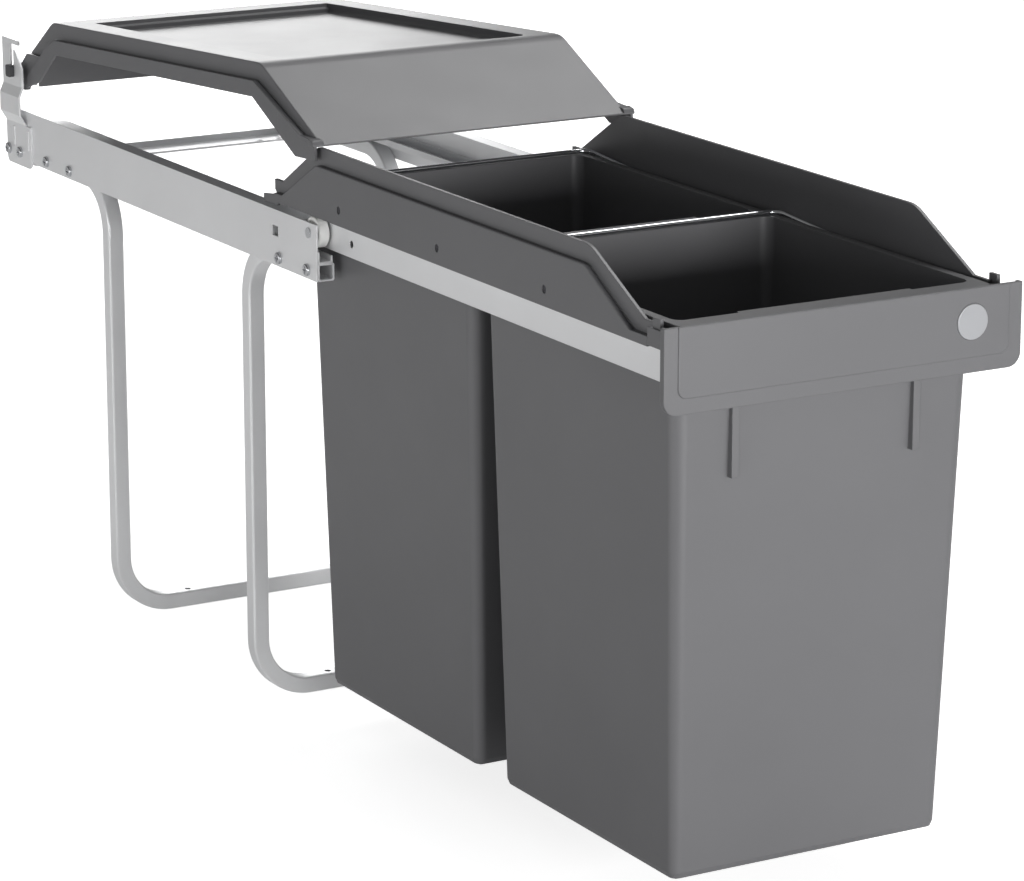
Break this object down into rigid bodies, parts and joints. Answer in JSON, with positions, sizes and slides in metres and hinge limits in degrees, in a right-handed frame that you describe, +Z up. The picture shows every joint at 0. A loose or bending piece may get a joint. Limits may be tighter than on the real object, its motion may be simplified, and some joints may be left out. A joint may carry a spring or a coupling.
{
  "type": "pull-out waste bin",
  "caption": "Cabinet waste sorter: a roller drawer on a bent-tube floor frame carries tapered bins with wire bails under a hinged hooded lid.",
  "frame": {"origin": "middle of the floor-screw pattern, on the underside of the two floor tubes", "axes": "+X to the right seen from the drawer's front, +Y into the cabinet (the drawer comes out towards -Y), +Z up"},
  "size_m": [0.2618, 0.9507, 0.4546],
  "materials": {
    "silver_coating": "satin silver coating on steel",
    "zinc_steel": "zinc plated",
    "grey_moulding": "fine-grained satin moulding",
    "roller_plastic": "satin",
    "bright_wire": "bright plated wire",
    "dark_zinc": "black zinc plated",
    "badge_disc": "plain gloss",
    "bush_plastic": "satin"
  },
  "bodies": {
    "base": {"front_floor_tube": "silver_coating", "rear_floor_tube": "silver_coating", "rear_cross_strip": "silver_coating", "rail_plate_left": "silver_coating", "rail_plate_right": "silver_coating", "runner_channel_left": "silver_coating", "runner_channel_right": "silver_coating", "lid_bracket_left": "silver_coating", "lid_bracket_right": "silver_coating", "front_roller_axles": "zinc_steel", "frame_screws": "zinc_steel", "bracket_screws": "zinc_steel"},
    "drawer": {"drawer_rail_left": "silver_coating", "drawer_rail_right": "silver_coating", "side_panel_left": "grey_moulding", "side_panel_right": "grey_moulding", "rear_roller_axles": "zinc_steel", "panel_screws": "dark_zinc", "drawer_mid_bar": "silver_coating", "drawer_rear_bar": "silver_coating", "front_panel": "grey_moulding", "badge_blank": "badge_disc"},
    "front_wheel_left": {"front_roller_left": "roller_plastic"},
    "front_wheel_right": {"front_roller_right": "roller_plastic"},
    "rear_wheel_left": {"rear_roller_left": "roller_plastic"},
    "rear_wheel_right": {"rear_roller_right": "roller_plastic"},
    "front_bucket": {"front_bin": "grey_moulding"},
    "rear_bucket": {"rear_bin": "grey_moulding"},
    "front_handle": {"front_bail": "bright_wire"},
    "rear_handle": {"rear_bail": "bright_wire"},
    "lid_bushes": {"lid_hinge_bushes": "bush_plastic"},
    "lid": {"lid_shell": "grey_moulding", "lid_foot_left": "grey_moulding", "lid_foot_right": "grey_moulding"}
  },
  "joints": [
    {"name": "drawer_slide", "type": "slide", "parent": "base", "child": "drawer", "axis": [0, -1, 0], "range_m": [-0.415, 0]},
    {"name": "front_roller_left_spin", "type": "hinge", "parent": "base", "child": "front_wheel_left", "pos_m": [-0.1174, -0.2145, 0.354], "axis": [1, 0, 0], "range_deg": [-2268, 2]},
    {"name": "front_roller_right_spin", "type": "hinge", "parent": "base", "child": "front_wheel_right", "pos_m": [0.1174, -0.2145, 0.354], "axis": [1, 0, 0], "range_deg": [-2268, 2]},
    {"name": "rear_roller_left_spin", "type": "hinge", "parent": "drawer", "child": "rear_wheel_left", "pos_m": [-0.1174, -0.1486, 0.3464], "axis": [1, 0, 0], "range_deg": [-2268, 2]},
    {"name": "rear_roller_right_spin", "type": "hinge", "parent": "drawer", "child": "rear_wheel_right", "pos_m": [0.1174, -0.1486, 0.3464], "axis": [1, 0, 0], "range_deg": [-2268, 2]},
    {"name": "front_bin_lift", "type": "slide", "parent": "drawer", "child": "front_bucket", "axis": [0, 0, 1], "range_m": [0, 0.36]},
    {"name": "rear_bin_lift", "type": "slide", "parent": "drawer", "child": "rear_bucket", "axis": [0, 0, 1], "range_m": [0, 0.02]},
    {"name": "front_bail_turn", "type": "hinge", "parent": "front_bucket", "child": "front_handle", "pos_m": [0, -0.5305, 0.373], "axis": [1, 0, 0], "range_deg": [0, 170]},
    {"name": "rear_bail_turn", "type": "hinge", "parent": "rear_bucket", "child": "rear_handle", "pos_m": [0, -0.2915, 0.373], "axis": [1, 0, 0], "range_deg": [0, 20]},
    {"name": "lid_lift", "type": "slide", "parent": "base", "child": "lid_bushes", "axis": [0, 0, 1], "range_m": [0, 0.016]},
    {"name": "lid_tilt", "type": "hinge", "parent": "lid_bushes", "child": "lid", "pos_m": [0, 0.2689, 0.39], "axis": [-1, 0, 0], "range_deg": [0, 60]}
  ],
  "couplings": [
    {"joint": "front_roller_left_spin", "follows": "drawer_slide", "rad_per_m": 95.238},
    {"joint": "front_roller_right_spin", "follows": "drawer_slide", "rad_per_m": 95.238},
    {"joint": "rear_roller_left_spin", "follows": "drawer_slide", "rad_per_m": 95.238},
    {"joint": "rear_roller_right_spin", "follows": "drawer_slide", "rad_per_m": 95.238}
  ]
}
